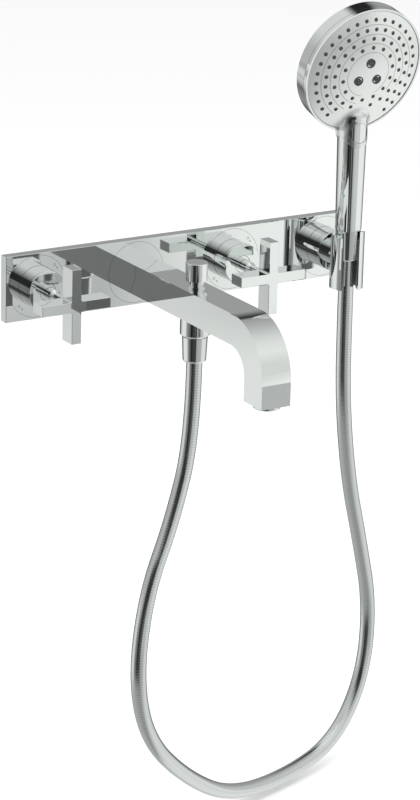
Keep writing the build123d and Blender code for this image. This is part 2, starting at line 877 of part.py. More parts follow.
def spray_face():
    face = dome_layer(face_radius, 0, -face_thickness)
    holes = []
    for x, y in nozzle_places():
        height = crown_height(x, y)
        holes.append(local_rod(x, y, nozzle_radius + nozzle_clearance, height - 8, height + 3))
    for x, y in jet_places():
        holes.append(local_rod(x, y, jet_radius + nozzle_clearance, 0, face_crown + 3))
    return face - holes - handle_form(-seat_clearance)


def nozzle_mat():
    mat = dome_layer(face_radius - 3, -face_thickness, -face_thickness - mat_thickness)
    mat -= handle_form(-seat_clearance)
    tips = []
    for x, y in nozzle_places():
        height = crown_height(x, y)
        tips.append(local_rod(x, y, nozzle_radius, height - face_thickness - 0.5,
                              height + nozzle_proud))
    mat = mat + tips
    for x, y in jet_places():
        mat -= local_rod(x, y, jet_radius + nozzle_clearance, -10, face_crown + 3)
    return mat


def centre_jets():
    jets = []
    for x, y in jet_places():
        height = crown_height(x, y)
        bottom = height - face_thickness - mat_thickness + body_gap
        jet = local_rod(x, y, jet_radius, bottom, height + 0.6)
        jet -= local_rod(x, y, jet_radius - 1.2, height - 0.2, height + 1)
        jet += local_rod(x, y, jet_radius - 2.2, height - 0.3, height + 0.8)
        jets.append(jet - local_rod(x, y, 0.9, bottom - 1, height + 2))
    return jets


def chamber_plate():
    back = -face_thickness - mat_thickness
    plate = dome_layer(chamber_plate_radius, back, back - chamber_plate_thickness)
    plate -= local_rod(0, 0, 6, -20, 20)
    return plate - handle_form(-seat_clearance)


# ---- all nodes ----
def all_parts():
    parts = {
        "front_plate": front_plate(),
        "plate_gasket": plate_gasket(),
        "mounting_rail": mounting_rail(),
        "grub_screws": grub_screws(),
        "hot_rosette": rosette(hot_x, sleeve_spigot_radius),
        "spout_rosette": rosette(spout_x, nipple_radius() + body_gap),
        "cold_rosette": rosette(cold_x, sleeve_spigot_radius),
        "holder_rosette": rosette(holder_x, sleeve_spigot_radius),
        "hot_sleeve": sleeve(hot_x),
        "cold_sleeve": sleeve(cold_x),
        "holder_sleeve": sleeve(holder_x),
        "trim_rings": trim_rings(),
        "valve_manifold": valve_manifold(),
        "o_rings": o_rings(),
        "fixed_ceramic_discs": fixed_discs(),
        "spout_body": spout_body(),
        "spout_nipple": spout_nipple(),
        "aerator_housing": aerator_housing(),
        "aerator_insert": aerator_insert(),
        "aerator_washer": aerator_washer(),
        "diverter_gland": diverter_gland(),
        "diverter_knob": diverter_knob(),
        "diverter_rod": diverter_rod(),
        "diverter_seal": diverter_seal(),
        "outlet_collar": outlet_collar(),
        "check_valve": check_valve(),
        "outlet_hose_nut": outlet_hose_nut(),
        "outlet_hose_washer": outlet_hose_washer(),
        "shower_hose": shower_hose(),
        "holder_post": holder_post(),
        "holder_screw": holder_screw(),
        "holder_clip": holder_clip(),
        "clip_screw": clip_screw(),
        "holder_liner": holder_liner(),
        "handset_hose_nut": handset_hose_nut(),
        "handset_hose_washer": handset_hose_washer(),
        "handset_handle": handset_handle(),
        "handset_connector": handset_connector(),
        "handset_waterway": handset_waterway(),
        "spray_selector": spray_selector(),
        "select_button": select_button(),
        "button_spring": button_spring(),
        "head_shell": head_shell(),
        "head_bezel": head_bezel(),
        "spray_face": spray_face(),
        "nozzle_mat": nozzle_mat(),
        "centre_jets": centre_jets(),
        "chamber_plate": chamber_plate(),
    }
    for side, x in (("hot", hot_x), ("cold", cold_x)):
        parts[side + "_cartridge"] = cartridge(x)
        parts[side + "_cross_handle"] = cross_handle(x)
        parts[side + "_stem"] = handle_stem(x)
        parts[side + "_grub_screw"] = stem_grub_screw(x)
        parts[side + "_spindle"] = valve_spindle(x)
        parts[side + "_turning_disc"] = turning_disc(x)
    return parts


def export(name, shape):
    if isinstance(shape, list):
        shape = Compound(children=[solid for piece in shape for solid in piece.solids()])
    export_step(shape, os.path.join("parts", name + ".step"))


os.makedirs("parts", exist_ok=True)
for part_name, part_shape in all_parts().items():
    export(part_name, part_shape)
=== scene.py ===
import math

import bmesh
import bpy
from mathutils import Matrix, Vector


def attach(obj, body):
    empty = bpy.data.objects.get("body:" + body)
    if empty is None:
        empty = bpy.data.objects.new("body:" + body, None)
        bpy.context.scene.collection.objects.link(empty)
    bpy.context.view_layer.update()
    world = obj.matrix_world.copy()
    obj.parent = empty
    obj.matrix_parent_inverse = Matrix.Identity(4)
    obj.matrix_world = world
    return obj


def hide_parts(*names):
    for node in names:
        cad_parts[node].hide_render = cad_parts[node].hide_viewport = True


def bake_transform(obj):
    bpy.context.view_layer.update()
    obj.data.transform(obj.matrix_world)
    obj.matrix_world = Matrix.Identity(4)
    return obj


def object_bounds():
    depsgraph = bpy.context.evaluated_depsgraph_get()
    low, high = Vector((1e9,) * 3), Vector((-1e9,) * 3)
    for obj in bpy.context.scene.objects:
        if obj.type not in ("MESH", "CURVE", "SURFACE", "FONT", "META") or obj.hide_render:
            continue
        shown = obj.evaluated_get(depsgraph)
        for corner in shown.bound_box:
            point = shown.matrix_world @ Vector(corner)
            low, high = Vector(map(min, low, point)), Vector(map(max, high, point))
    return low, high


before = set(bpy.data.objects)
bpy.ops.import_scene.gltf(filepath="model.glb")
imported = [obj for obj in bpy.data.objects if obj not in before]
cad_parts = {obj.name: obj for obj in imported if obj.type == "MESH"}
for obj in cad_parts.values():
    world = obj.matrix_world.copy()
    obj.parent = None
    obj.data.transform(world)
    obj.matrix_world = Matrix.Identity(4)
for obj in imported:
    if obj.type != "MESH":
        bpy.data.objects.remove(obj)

cad_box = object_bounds()
MM = 0.001


# ---------------------------------------------------------------- camera
CAMERA_AZIMUTH = math.radians(-31.657)
CAMERA_ELEVATION = math.radians(18.403)
CAMERA_ROLL = math.radians(1.546)
CAMERA_TARGET = Vector((-0.01993, -0.09545, -0.10592))
CAMERA_DISTANCE = 2.9104
CAMERA_LENS = 140.45
CAMERA_SENSOR = 36


def make_camera():
    azimuth, elevation, roll = CAMERA_AZIMUTH, CAMERA_ELEVATION, CAMERA_ROLL
    back = Vector((math.sin(azimuth) * math.cos(elevation),
                   -math.cos(azimuth) * math.cos(elevation), math.sin(elevation)))
    right = Vector((math.cos(azimuth), math.sin(azimuth), 0))
    up = back.cross(right)
    across = right * math.cos(roll) + up * math.sin(roll)
    above = up * math.cos(roll) - right * math.sin(roll)
    eye = CAMERA_TARGET + back * CAMERA_DISTANCE
    data = bpy.data.cameras.new("studio_camera")
    data.lens = CAMERA_LENS
    data.sensor_width = CAMERA_SENSOR
    data.clip_end = 60
    camera = bpy.data.objects.new("studio_camera", data)
    camera.matrix_world = Matrix((
        (across.x, above.x, back.x, eye.x),
        (across.y, above.y, back.y, eye.y),
        (across.z, above.z, back.z, eye.z),
        (0, 0, 0, 1)))
    bpy.context.scene.collection.objects.link(camera)
    bpy.context.scene.camera = camera


# ---------------------------------------------------------------- shader maths
class Socket:
    """A node output or a number; arithmetic on it adds Math nodes."""

    def __init__(self, shader, link):
        self.shader, self.link = shader, link

    def math(self, operation, *others):
        values = {i: o for i, o in enumerate((self, *others))}
        return self.shader.add("ShaderNodeMath", {"operation": operation}, values)

    def __add__(self, other):
        return self.math("ADD", other)

    def __rsub__(self, other):
        return self.shader.add("ShaderNodeMath", {"operation": "SUBTRACT"}, {0: other, 1: self})

    def __mul__(self, other):
        return self.math("MULTIPLY", other)

    def __truediv__(self, other):
        return self.math("DIVIDE", other)

    def ramp(self, *stops):
        """A number read off a curve of (position, value) stops."""
        return self.shader.add("ShaderNodeValToRGB", {"stops": stops}, {"Fac": self})


class Shader:
    """One node tree. add() makes a node: its settings first, then its inputs."""

    def __init__(self, tree):
        self.tree = tree
        tree.nodes.clear()

    def add(self, kind, settings=None, inputs=None, output=0):
        node = self.tree.nodes.new(kind)
        for key, value in (settings or {}).items():
            if key == "stops":
                self.set_stops(node.color_ramp, value)
            else:
                setattr(node, key, value)
        for key, value in (inputs or {}).items():
            if isinstance(value, Socket):
                self.tree.links.new(value.link, node.inputs[key])
            else:
                node.inputs[key].default_value = value
        return Socket(self, node.outputs[output]) if len(node.outputs) else node

    def set_stops(self, ramp, stops):
        while len(ramp.elements) < len(stops):
            ramp.elements.new(1.0)
        for element, (position, value) in zip(ramp.elements, stops):
            element.position = position
            element.color = (value, value, value, 1)

    def place(self):
        return self.add("ShaderNodeTexCoord", output="Object")

    def noise(self, scale, detail=2.0, roughness=0.5):
        inputs = {"Scale": scale, "Detail": detail, "Roughness": roughness,
                  "Vector": self.place()}
        return self.add("ShaderNodeTexNoise", {}, inputs)

    def tint(self, factor, low, high):
        """A blend of two colours, each a tuple or a socket."""
        inputs = {0: factor, 6: low if isinstance(low, Socket) else (*low, 1),
                  7: high if isinstance(high, Socket) else (*high, 1)}
        return self.add("ShaderNodeMix", {"data_type": "RGBA"}, inputs, output=2)

    def bump(self, height, strength, distance):
        inputs = {"Strength": strength, "Distance": distance, "Height": height}
        return self.add("ShaderNodeBump", {}, inputs)


def material(name, build):
    """A material whose Principled inputs are what build() gives."""
    made = bpy.data.materials.new(name)
    made.use_nodes = True
    shader = Shader(made.node_tree)
    sockets = build(shader)
    surface = shader.add("ShaderNodeBsdfPrincipled", {}, sockets)
    shader.add("ShaderNodeOutputMaterial", {}, {"Surface": surface})
    return made


# ---------------------------------------------------------------- finishes
def chrome(shader, low, high, dull):
    smudge = shader.noise(38, 4, 0.6)
    cloud = shader.noise(9, 2)
    ripple = shader.bump(shader.noise(55, 1), 0.02, 0.0002)
    return {"Base Color": shader.tint(cloud, low, high), "Metallic": 1.0,
            "Roughness": smudge.ramp((0.35, dull), (0.62, dull * 1.8), (0.8, dull * 3)),
            "Normal": ripple}


def polished_chrome(shader):
    return chrome(shader, (0.83, 0.85, 0.84), (0.88, 0.90, 0.89), 0.02)


def plated_plastic(shader):
    return chrome(shader, (0.82, 0.84, 0.83), (0.88, 0.89, 0.885), 0.035)


def satin_face(shader):
    grain = shader.noise(5200, 2, 0.6)
    cloud = shader.noise(24, 3)
    return {"Base Color": shader.tint(cloud, (0.86, 0.87, 0.86), (0.91, 0.92, 0.91)),
            "Metallic": 1.0,
            "Roughness": grain.ramp((0.3, 0.22), (0.7, 0.30)),
            "Normal": shader.bump(grain, 0.12, 0.00005)}


def metallic_hose(shader):
    grain = shader.noise(900, 3)
    wound = shader.add("ShaderNodeUVMap", {"uv_map": "wound"})
    around = shader.add("ShaderNodeSeparateXYZ", {}, {"Vector": wound}, output=0)
    along = shader.add("ShaderNodeSeparateXYZ", {}, {"Vector": wound}, output=1)
    # Painted shade: the colour darkens along the winding groove, where the ribs dip.
    groove_shade_wave = ((around + along) * math.tau).math("COSINE") * 0.5 + 0.5
    base = shader.tint(grain, (0.70, 0.72, 0.715), (0.78, 0.80, 0.795))
    return {"Base Color": shader.tint(groove_shade_wave.ramp((0.0, 1.0), (0.25, 0.0)), base,
                                      (0.62, 0.63, 0.63)),
            "Metallic": 1.0, "Roughness": grain.ramp((0.3, 0.13), (0.7, 0.22)),
            "Coat Weight": 0.6, "Coat Roughness": 0.06}


def rubber(shader, dark, light):
    speck = shader.noise(1400, 4, 0.7)
    bloom = shader.noise(60, 2)
    return {"Base Color": shader.tint(bloom, dark, light),
            "Roughness": speck.ramp((0.3, 0.5), (0.7, 0.72)),
            "Specular IOR Level": 0.4,
            "Normal": shader.bump(speck, 0.25, 0.00005)}


def black_rubber(shader):
    return rubber(shader, (0.012, 0.012, 0.013), (0.03, 0.03, 0.032))


def nozzle_rubber(shader):
    return rubber(shader, (0.035, 0.037, 0.037), (0.075, 0.078, 0.078))


def raw_brass(shader):
    lines = shader.noise(220, 5, 0.65)
    cloud = shader.noise(30, 3)
    return {"Base Color": shader.tint(cloud, (0.62, 0.43, 0.17), (0.80, 0.60, 0.28)),
            "Metallic": 1.0, "Roughness": lines.ramp((0.3, 0.24), (0.7, 0.44)),
            "Normal": shader.bump(lines, 0.1, 0.0001)}


def stainless_steel(shader):
    lines = shader.noise(400, 4, 0.6)
    return {"Base Color": shader.tint(lines, (0.50, 0.50, 0.49), (0.64, 0.64, 0.63)),
            "Metallic": 1.0, "Roughness": lines.ramp((0.3, 0.22), (0.7, 0.38)),
            "Normal": shader.bump(lines, 0.08, 0.0001)}


def white_ceramic(shader):
    cloud = shader.noise(120, 2)
    return {"Base Color": shader.tint(cloud, (0.86, 0.86, 0.84), (0.93, 0.93, 0.91)),
            "Roughness": cloud.ramp((0.3, 0.12), (0.7, 0.22)), "Coat Weight": 0.3}


def grey_plastic(shader):
    grain = shader.noise(1800, 3)
    return {"Base Color": shader.tint(grain, (0.20, 0.205, 0.21), (0.27, 0.275, 0.28)),
            "Roughness": grain.ramp((0.3, 0.38), (0.7, 0.55)),
            "Normal": shader.bump(grain, 0.15, 0.00004)}


FINISHES = {f.__name__: material(f.__name__, f) for f in (
    polished_chrome, plated_plastic, satin_face, metallic_hose, black_rubber, nozzle_rubber,
    raw_brass, stainless_steel, white_ceramic, grey_plastic)}


def finish_cad_nodes():
    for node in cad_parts.values():
        for slot in node.material_slots:
            slot.material = FINISHES[slot.material.name.split(".")[0]]
    # The connector shows only as a thin line under the handle, plated like it.
    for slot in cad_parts["handset_connector"].material_slots:
        slot.material = FINISHES["polished_chrome"]


# ---------------------------------------------------------------- hose
HOSE_ROUTE_MM = [
    (-52.5, -119, -56), (-52.5, -119, -131), (-77, -127, -206), (-108, -136, -268),
    (-121, -141, -350), (-103, -135, -420), (-48, -117, -478), (13, -98, -518),
    (92, -73, -527), (168, -48, -514), (209, -35, -456), (215, -33, -378),
    (194, -40, -301), (174, -46, -234), (160, -51, -152), (157.5, -51.5, -76),
    (157.5, -51.5, -3)]
HOSE_RADIUS = 7.45 * MM
RIB_PITCH = 2.6 * MM
RIB_HEIGHT = 0.015 * MM
RIB_STATIONS = 6
HOSE_SIDES = 26
WELD = 1e-6


def hose_line():
    curve = bpy.data.curves.new("hose_line", "CURVE")
    curve.dimensions = "3D"
    curve.resolution_u = 40
    spline = curve.splines.new("NURBS")
    spline.points.add(len(HOSE_ROUTE_MM) - 1)
    for point, place in zip(spline.points, HOSE_ROUTE_MM):
        point.co = (*(Vector(place) * MM), 1)
    spline.order_u = 3
    spline.use_endpoint_u = True
    bare = bpy.data.objects.new("hose_line", curve)
    mesh = bpy.data.meshes.new_from_object(bare)
    line = [v.co.copy() for v in mesh.vertices]
    bpy.data.meshes.remove(mesh)
    bpy.data.curves.remove(curve)
    return line


def evenly(line, step):
    """Points a step apart along a line, with the distance along it of each."""
    lengths = [0.0]
    for a, b in zip(line, line[1:]):
        lengths.append(lengths[-1] + (b - a).length)
    count = math.ceil(lengths[-1] / step)
    points, at = [], 0
    for i in range(count + 1):
        want = lengths[-1] * i / count
        while at < len(lengths) - 2 and lengths[at + 1] < want:
            at += 1
        share = (want - lengths[at]) / (lengths[at + 1] - lengths[at])
        points.append((line[at].lerp(line[at + 1], share), want))
    return points


def frames_along(points):
    """A turn-free pair of cross directions at each point of a line."""
    found = []
    side = Vector((1, 0, 0))
    for i, (place, along) in enumerate(points):
        before, after = points[max(i - 1, 0)][0], points[min(i + 1, len(points) - 1)][0]
        ahead = (after - before).normalized()
        side = (side - ahead * side.dot(ahead)).normalized()
        found.append((place, along, side, ahead.cross(side)))
    return found


def link(name, bm, finish):
    mesh = bpy.data.meshes.new(name)
    for face in bm.faces:
        face.smooth = True
    bm.to_mesh(mesh)
    bm.free()
    mesh.materials.append(FINISHES[finish])
    piece = bpy.data.objects.new(name, mesh)
    bpy.context.scene.collection.objects.link(piece)
    return piece


def hose_piece(line):
    """A grid rolled into a tube along the line; its UV is (turn, ribs along)."""
    stations = frames_along(evenly(line, RIB_PITCH / RIB_STATIONS))
    bm = bmesh.new()
    bmesh.ops.create_grid(bm, x_segments=len(stations) - 1, y_segments=HOSE_SIDES, size=1)
    uv = bm.loops.layers.uv.new("wound")
    for face in bm.faces:
        for loop in face.loops:
            x, y = loop.vert.co.xy
            loop[uv].uv = ((y + 1) / 2, (x + 1) / 2 * stations[-1][1] / RIB_PITCH)
    for vert in bm.verts:
        i = round((vert.co.x + 1) / 2 * (len(stations) - 1))
        turn = (vert.co.y + 1) / 2
        place, along, side, other = stations[i]
        rib = 0.5 + 0.5 * math.cos(math.tau * (along / RIB_PITCH + turn))
        radius = HOSE_RADIUS - RIB_HEIGHT * (1 - rib) ** 2
        angle = math.tau * turn
        vert.co = place + (side * math.cos(angle) + other * math.sin(angle)) * radius
    bmesh.ops.remove_doubles(bm, verts=bm.verts, dist=WELD)
    rims = [e for e in bm.edges if e.is_boundary]
    bmesh.ops.holes_fill(bm, edges=rims, sides=0)
    bmesh.ops.recalc_face_normals(bm, faces=bm.faces)
    return link("hose_sleeve", bm, "metallic_hose")


def make_hose():
    line = hose_line()
    hose = hose_piece(line)
    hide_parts("shower_hose")
    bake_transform(hose)


# ---------------------------------------------------------------- turned pieces
POLE_WELD = 1e-7
SHARP_TURNED = math.radians(32)


def in_mm(outline):
    return [(a * MM, b * MM) for a, b in outline]


def turned(bm, outline, steps=96, closed=False, start=0.0, sweep=math.tau):
    """Spins an outline of (radius, height) points round Z; gives the new vertices."""
    before = len(bm.verts)
    verts = [bm.verts.new((r, 0, z)) for r, z in outline]
    pairs = list(zip(verts, verts[1:])) + ([(verts[-1], verts[0])] if closed else [])
    edges = [bm.edges.new(pair) for pair in pairs]
    bmesh.ops.rotate(bm, verts=verts, cent=(0, 0, 0), matrix=Matrix.Rotation(start, 3, "Z"))
    bmesh.ops.spin(bm, geom=verts + edges, cent=(0, 0, 0), axis=(0, 0, 1), angle=sweep,
                   steps=steps, use_merge=sweep == math.tau, dvec=(0, 0, 0))
    bm.verts.ensure_lookup_table()
    return bm.verts[before:]


def close_poles(bm):
    bmesh.ops.remove_doubles(bm, verts=bm.verts, dist=POLE_WELD)
    loose = [v for v in bm.verts if not v.link_faces]
    bmesh.ops.delete(bm, geom=loose, context="VERTS")


def finish_turned(name, finish, bm, place):
    close_poles(bm)
    bmesh.ops.holes_fill(bm, edges=[e for e in bm.edges if e.is_boundary], sides=0)
    bmesh.ops.transform(bm, matrix=place, verts=bm.verts)
    bmesh.ops.recalc_face_normals(bm, faces=bm.faces)
    piece = link(name, bm, finish)
    piece.data.set_sharp_from_angle(angle=SHARP_TURNED)
    return piece


def head_piece(name, finish, outline, closed=False):
    """A piece turned about the middle of the spray face."""
    bm = bmesh.new()
    turned(bm, outline, HEAD_STEPS, closed)
    return finish_turned(name, finish, bm, head_place())


# ---------------------------------------------------------------- hand shower
HOLDER_X = 157.5 * MM
HANDSET_Y = -51.5 * MM
HEAD_CENTRE = (HOLDER_X, -66.5 * MM, 185 * MM)
HEAD_TILT = math.radians(14.9)
HEAD_STEPS = 160
FACE_RADIUS = 61.0 * MM
FACE_CROWN = 9.48 * MM
FACE_SPHERE = (FACE_RADIUS ** 2 + FACE_CROWN ** 2) / (2 * FACE_CROWN)
FACE_THICKNESS = 2.0 * MM
FACE_RINGS = 26
HANDLE_RADIUS = 14.3 * MM
HANDLE_TOP = 136.0 * MM

# Rings of nozzles: radius in mm, pitch, first and last angle in degrees.
NOZZLE_RINGS = [(27.2, 25.7, -91.0, 243.3), (35.9, 18.0, -72.0, 252.0),
                (44.5, 13.3, -45.7, 233.6), (53.5, 11.0, -54.0, 232.0)]
NOZZLE_MM = [(0, -0.7), (0.42, -0.7), (0.5, 0.95), (0.95, 1.05), (1.2, 0.9), (1.45, 0.25),
             (1.62, 0.16), (2.0, 0.1), (2.08, -0.1)]
NOZZLE_STEPS = 14

# Fine grooves between the rings, drawn as thin dark strips of painted shade: radius in mm,
# first and last angle in degrees.
GROOVES = [(22.6, -62, 262), (31.4, -38, 258), (40.1, -26, 244), (49.0, -12, 236)]
GROOVE_HALF = 0.17 * MM
GROOVE_STEPS = 140

RIM_SEAL_MM = [(60.6, -1.5), (61.0, -0.35), (61.5, -0.2), (61.52, -1.5)]
# The thin black bezel ring is painted shade: a dark line standing in for the gap at the bezel's
# joint.
BEZEL_GAP_SHADE_MM = [(62.6, -4.2), (63.52, -4.2), (63.52, -3.9), (62.6, -3.9)]
BACK_COVER_MM = [(63.0, -16.6), (62.6, -17.4), (61.4, -18.8), (57.0, -20.7), (50.0, -22.5),
                 (40.0, -24.3), (28.0, -25.3), (14.0, -25.7), (0, -25.8),
                 (0, -23.8), (40.0, -23.8), (62.4, -16.6)]


def head_place():
    """From the spray face's own frame, its Z pointing out of the face, to the world."""
    out = Vector((0, -math.cos(HEAD_TILT), -math.sin(HEAD_TILT)))
    up = Vector((0, -math.sin(HEAD_TILT), math.cos(HEAD_TILT)))
    place = Matrix.Identity(4)
    for column, axis in enumerate((Vector((1, 0, 0)), up, out)):
        for row in range(3):
            place[row][column] = axis[row]
    place.translation = HEAD_CENTRE
    return place


def crown(radius):
    """Height of the domed face at a radius."""
    return math.sqrt(FACE_SPHERE ** 2 - radius ** 2) - (FACE_SPHERE - FACE_CROWN)


def face_outline(lower, thickness):
    radii = [FACE_RADIUS * i / FACE_RINGS for i in range(FACE_RINGS + 1)]
    front = [(r, crown(r) - lower) for r in radii]
    return front + [(r, h - thickness) for r, h in reversed(front)]


def make_face():
    face = head_piece("spray_face_plate", "satin_face", face_outline(0.0, FACE_THICKNESS))
    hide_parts("spray_face")
    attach(face, "handset")


def groove_outline(r):
    near, far = r - GROOVE_HALF, r + GROOVE_HALF
    return [(near, crown(near) + 0.02 * MM), (r, crown(r) + 0.06 * MM),
            (far, crown(far) + 0.02 * MM), (r, crown(r) - 0.3 * MM)]


def make_grooves():
    bm = bmesh.new()
    for radius, first, last in GROOVES:
        turned(bm, groove_outline(radius * MM), GROOVE_STEPS, True, math.radians(first),
               math.radians(last - first))
    # Dark nozzle rubber laid along each groove: painted shade of the groove.
    lines = finish_turned("face_groove_painted_shade", "nozzle_rubber", bm, head_place())
    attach(lines, "handset")


def nozzle_places():
    for radius, pitch, first, last in NOZZLE_RINGS:
        count = round((last - first) / pitch)
        for i in range(count + 1):
            angle = math.radians(first + i * (last - first) / count)
            yield radius * MM * math.cos(angle), radius * MM * math.sin(angle)


def make_nozzles():
    bm = bmesh.new()
    for x, y in nozzle_places():
        height = crown(math.hypot(x, y))
        fresh = turned(bm, in_mm(NOZZLE_MM), NOZZLE_STEPS)
        lean = Vector((x, y, FACE_SPHERE - FACE_CROWN + height)).to_track_quat("Z", "Y")
        bmesh.ops.transform(bm, matrix=Matrix.Translation((x, y, height))
                            @ lean.to_matrix().to_4x4(), verts=fresh)
    nozzles = finish_turned("spray_nozzles", "nozzle_rubber", bm, head_place())
    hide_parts("nozzle_mat")
    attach(nozzles, "handset")


def make_head_trim():
    rim = head_piece("face_rim_seal", "black_rubber", in_mm(RIM_SEAL_MM), True)
    # Painted shade: a thin black ring for the dark line at the bezel's joint.
    bezel_shade = head_piece("bezel_gap_shade", "black_rubber", in_mm(BEZEL_GAP_SHADE_MM), True)
    cover = head_piece("head_back_cover", "polished_chrome", in_mm(BACK_COVER_MM), True)
    for piece in (rim, bezel_shade, cover):
        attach(piece, "handset")


# ---------------------------------------------------------------- tongue
# The satin face flows over the handle's front and ends in a round below the button.
TONGUE_PROUD = 0.28 * MM
TONGUE_UNDER_FACE = 0.10 * MM
TONGUE_SLAB = 3.0 * MM
TONGUE_FOOT = 96 * MM
TONGUE_VOXEL = 0.9 * MM
TONGUE_RADIUS = 14.5
TONGUE_FLARE_MM = [(15.6, 127.5), (17.0, 133.0), (20.0, 140.0), (27.0, 150.0), (29.0, 172.0)]
TONGUE_FRONT = -95 * MM
TONGUE_DEPTH = 50.5 * MM
TONGUE_SHARP = math.radians(40)
CREASE_REACH = 8 * MM
CREASE_PASSES = 90
EVEN_PASSES = 3
BUTTON_Z_MM = 124.1
BUTTON_HOLE_RADIUS = 9.75 * MM
BUTTON_HOLE_DEPTH = 60 * MM
BUTTON_HOLE_Y = -80 * MM


def mesh_of(piece):
    graph = bpy.context.evaluated_depsgraph_get()
    return bpy.data.meshes.new_from_object(piece.evaluated_get(graph))


def helper(name, bm):
    mesh = bpy.data.meshes.new(name)
    bm.to_mesh(mesh)
    bm.free()
    made = bpy.data.objects.new(name, mesh)
    bpy.context.scene.collection.objects.link(made)
    return made


def tongue_blank():
    """The face's dome and the handle's rounded end grown into each other."""
    bm = bmesh.new()
    turned(bm, face_outline(TONGUE_UNDER_FACE, TONGUE_SLAB), 128)
    bmesh.ops.remove_doubles(bm, verts=bm.verts, dist=POLE_WELD)
    bmesh.ops.transform(bm, matrix=head_place(), verts=bm.verts)
    r = HANDLE_RADIUS + TONGUE_PROUD
    end = [(r * math.sin(a), HANDLE_TOP + r * math.cos(a))
           for a in (math.radians(90 * i / 16) for i in range(17))]
    fresh = turned(bm, end + [(r, TONGUE_FOOT), (0, TONGUE_FOOT)])
    bmesh.ops.translate(bm, vec=(HOLDER_X, HANDSET_Y, 0), verts=fresh)
    close_poles(bm)
    bmesh.ops.recalc_face_normals(bm, faces=bm.faces)
    blank = helper("tongue_blank", bm)
    remesh = blank.modifiers.new("grow", "REMESH")
    remesh.mode = "VOXEL"
    remesh.voxel_size = TONGUE_VOXEL
    mesh = mesh_of(blank)
    bpy.data.objects.remove(blank)
    return mesh


def tongue_outline():
    """Front view of the tongue: round under the button, flaring to the handle's sides."""
    bm = bmesh.new()
    low = [(TONGUE_RADIUS * math.sin(a), BUTTON_Z_MM - TONGUE_RADIUS * math.cos(a))
           for a in (math.radians(t) for t in range(-88, 89, 8))]
    left = [(-x, z) for x, z in reversed(TONGUE_FLARE_MM)]
    verts = [bm.verts.new((HOLDER_X + x * MM, TONGUE_FRONT, z * MM))
             for x, z in low + TONGUE_FLARE_MM + left]
    face = bm.faces.new(verts)
    grown = bmesh.ops.extrude_face_region(bm, geom=[face])
    moved = [e for e in grown["geom"] if isinstance(e, bmesh.types.BMVert)]
    bmesh.ops.translate(bm, vec=(0, TONGUE_DEPTH, 0), verts=moved)
    bmesh.ops.recalc_face_normals(bm, faces=bm.faces)
    return helper("tongue_outline", bm)


def button_hole():
    bm = bmesh.new()
    bmesh.ops.create_cone(bm, cap_ends=True, segments=96, radius1=BUTTON_HOLE_RADIUS,
                          radius2=BUTTON_HOLE_RADIUS, depth=BUTTON_HOLE_DEPTH)
    bmesh.ops.rotate(bm, verts=bm.verts, cent=(0, 0, 0),
                     matrix=Matrix.Rotation(math.pi / 2, 3, "X"))
    bmesh.ops.translate(bm, vec=(HOLDER_X, BUTTON_HOLE_Y, BUTTON_Z_MM * MM), verts=bm.verts)
    return helper("button_hole", bm)


def crease_test():
    """Says whether a point is near both the dome and the handle."""
    centre = head_place() @ Vector((0, 0, FACE_CROWN - FACE_SPHERE))

    def near(co):
        dome = abs((co - centre).length - FACE_SPHERE)
        across = Vector((co.x - HOLDER_X, co.y - HANDSET_Y, max(0, co.z - HANDLE_TOP)))
        return max(dome, abs(across.length - HANDLE_RADIUS)) < CREASE_REACH

    return near


def smooth(bm, verts, passes):
    for _ in range(passes):
        bmesh.ops.smooth_vert(bm, verts=verts, factor=0.5, use_axis_x=True, use_axis_y=True,
                              use_axis_z=True)


def cut_tongue(body):
    """The body inside the outline, less the button's hole."""
    outline, hole = tongue_outline(), button_hole()
    for cutter, operation in ((outline, "INTERSECT"), (hole, "DIFFERENCE")):
        cut = body.modifiers.new("cut", "BOOLEAN")
        cut.operation = operation
        cut.object = cutter
        cut.solver = "EXACT"
    mesh = mesh_of(body)
    for used in (body, outline, hole):
        bpy.data.objects.remove(used)
    return mesh


def make_tongue():
    bm = bmesh.new()
    bm.from_mesh(tongue_blank())
    near = crease_test()
    smooth(bm, [v for v in bm.verts if near(v.co)], CREASE_PASSES)
    smooth(bm, bm.verts, EVEN_PASSES)
    mesh = cut_tongue(helper("tongue_body", bm))
    bm = bmesh.new()
    bm.from_mesh(mesh)
    tongue = link("face_tongue", bm, "satin_face")
    tongue.data.set_sharp_from_angle(angle=TONGUE_SHARP)
    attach(tongue, "handset")


# ---------------------------------------------------------------- painted gap shade and disc marks on the wall side
HOT_X = -157.5 * MM
COLD_X = 52.5 * MM
# Thin black rings where each sleeve meets its rosette: painted shade of the gap between them.
SLEEVE_GAP_SHADE_MM = [(18.6, 9.95), (19.56, 9.95), (19.56, 10.25), (18.6, 10.25)]
MARK_LINE = 0.16
MARK_LOW, MARK_HIGH = 9.9, 10.03
MARK_CIRCLE = 25.6 * MM

# Marks on each valve disc: angle in degrees and radius in mm.
MARKS = [(46, 1.15), (37, 0.75), (222, 1.15), (232, 0.75)]


def wall_place(x):
    """A turned piece's Z axis pointing out of the wall at x."""
    place = Matrix.Rotation(math.pi / 2, 4, "X")
    place.translation = (x, 0, 0)
    return place


def make_sleeve_gap_shade():
    bm = bmesh.new()
    for x in (HOT_X, COLD_X, HOLDER_X):
        fresh = turned(bm, in_mm(SLEEVE_GAP_SHADE_MM), 96, True)
        bmesh.ops.transform(bm, matrix=wall_place(x), verts=fresh)
    # Black rubber stands in for the gap's shadow, as painted shade.
    gap_shade = finish_turned("sleeve_gap_shade_rings", "black_rubber", bm, Matrix.Identity(4))
    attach(gap_shade, "root")


def mark_outline(radius):
    inner, outer = radius - MARK_LINE, radius + MARK_LINE
    return in_mm([(inner, MARK_LOW), (outer, MARK_LOW), (outer, MARK_HIGH),
                  (inner, MARK_HIGH)])


